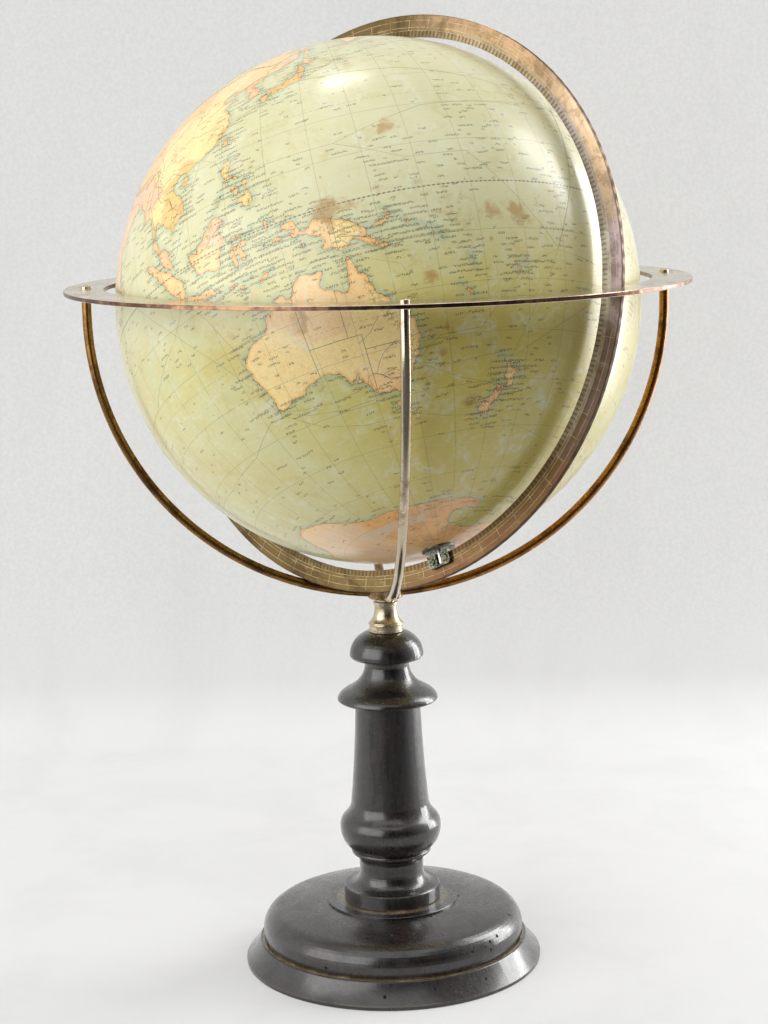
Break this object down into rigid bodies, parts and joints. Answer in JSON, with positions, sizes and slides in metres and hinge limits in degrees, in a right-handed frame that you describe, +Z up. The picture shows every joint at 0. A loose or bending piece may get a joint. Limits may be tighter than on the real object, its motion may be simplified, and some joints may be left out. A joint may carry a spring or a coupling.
{
  "type": "terrestrial globe",
  "caption": "Terrestrial globe that spins in a tilting graduated meridian ring, carried by a four-rod cradle with a horizon ring on a turned black wooden stand.",
  "frame": {"origin": "centre of the round foot, on the table", "axes": "+Z up along the column; X is the line on which the meridian ring crosses the horizon ring, with the south pole towards +X; the meridian ring's graduated front face looks to -Y"},
  "size_m": [0.3793, 0.3794, 0.59],
  "materials": {
    "ebonised_wood": "satin ebonised turned wood",
    "raw_wood": "plain turned wood",
    "meridian_brass": "aged lacquered brass with engraved divisions",
    "hub_brass": "aged brass",
    "nickel": "worn nickel plate",
    "horizon_nickel": "worn nickel plate over brass",
    "rod_brass": "browned brass rod",
    "rod_copper": "red-browned brass rod",
    "iron": "dull iron",
    "verdigris": "corroded brass",
    "bush_brass": "bright brass",
    "steel_pin": "bright steel",
    "board": "moulded board",
    "map_paper": "varnished printed paper"
  },
  "bodies": {
    "stand": {"base_plinth": "ebonised_wood", "base_dome": "ebonised_wood", "base_bolt": "iron", "column": "ebonised_wood", "ferrule": "nickel", "ferrule_stud": "iron", "hub": "hub_brass", "arm_front": "nickel", "arm_right": "rod_copper", "arm_rear": "rod_brass", "arm_left": "rod_brass", "arm_nuts": "nickel", "horizon_ring": "horizon_nickel"},
    "meridian": {"meridian_ring": "meridian_brass", "south_clamp": "verdigris", "north_clamp": "verdigris", "south_clamp_screws": "steel_pin", "north_clamp_screws": "steel_pin", "south_pin": "steel_pin", "north_pin": "steel_pin"},
    "globe": {"south_washer": "verdigris", "north_washer": "verdigris", "south_bush": "bush_brass", "north_bush": "bush_brass", "axis_post": "raw_wood", "shell_south": "board", "shell_north": "board", "seam_strip": "board", "map_gores": "map_paper"}
  },
  "joints": [
    {"name": "meridian_tilt", "type": "hinge", "parent": "stand", "child": "meridian", "pos_m": [0, 0, 0.41753], "axis": [0, 0.9763, -0.2164], "range_deg": [-55, 105]},
    {"name": "globe_spin", "type": "hinge", "parent": "meridian", "child": "globe", "pos_m": [0, 0, 0.41753], "axis": [-0.4305, 0.1954, 0.8812], "continuous": true}
  ]
}
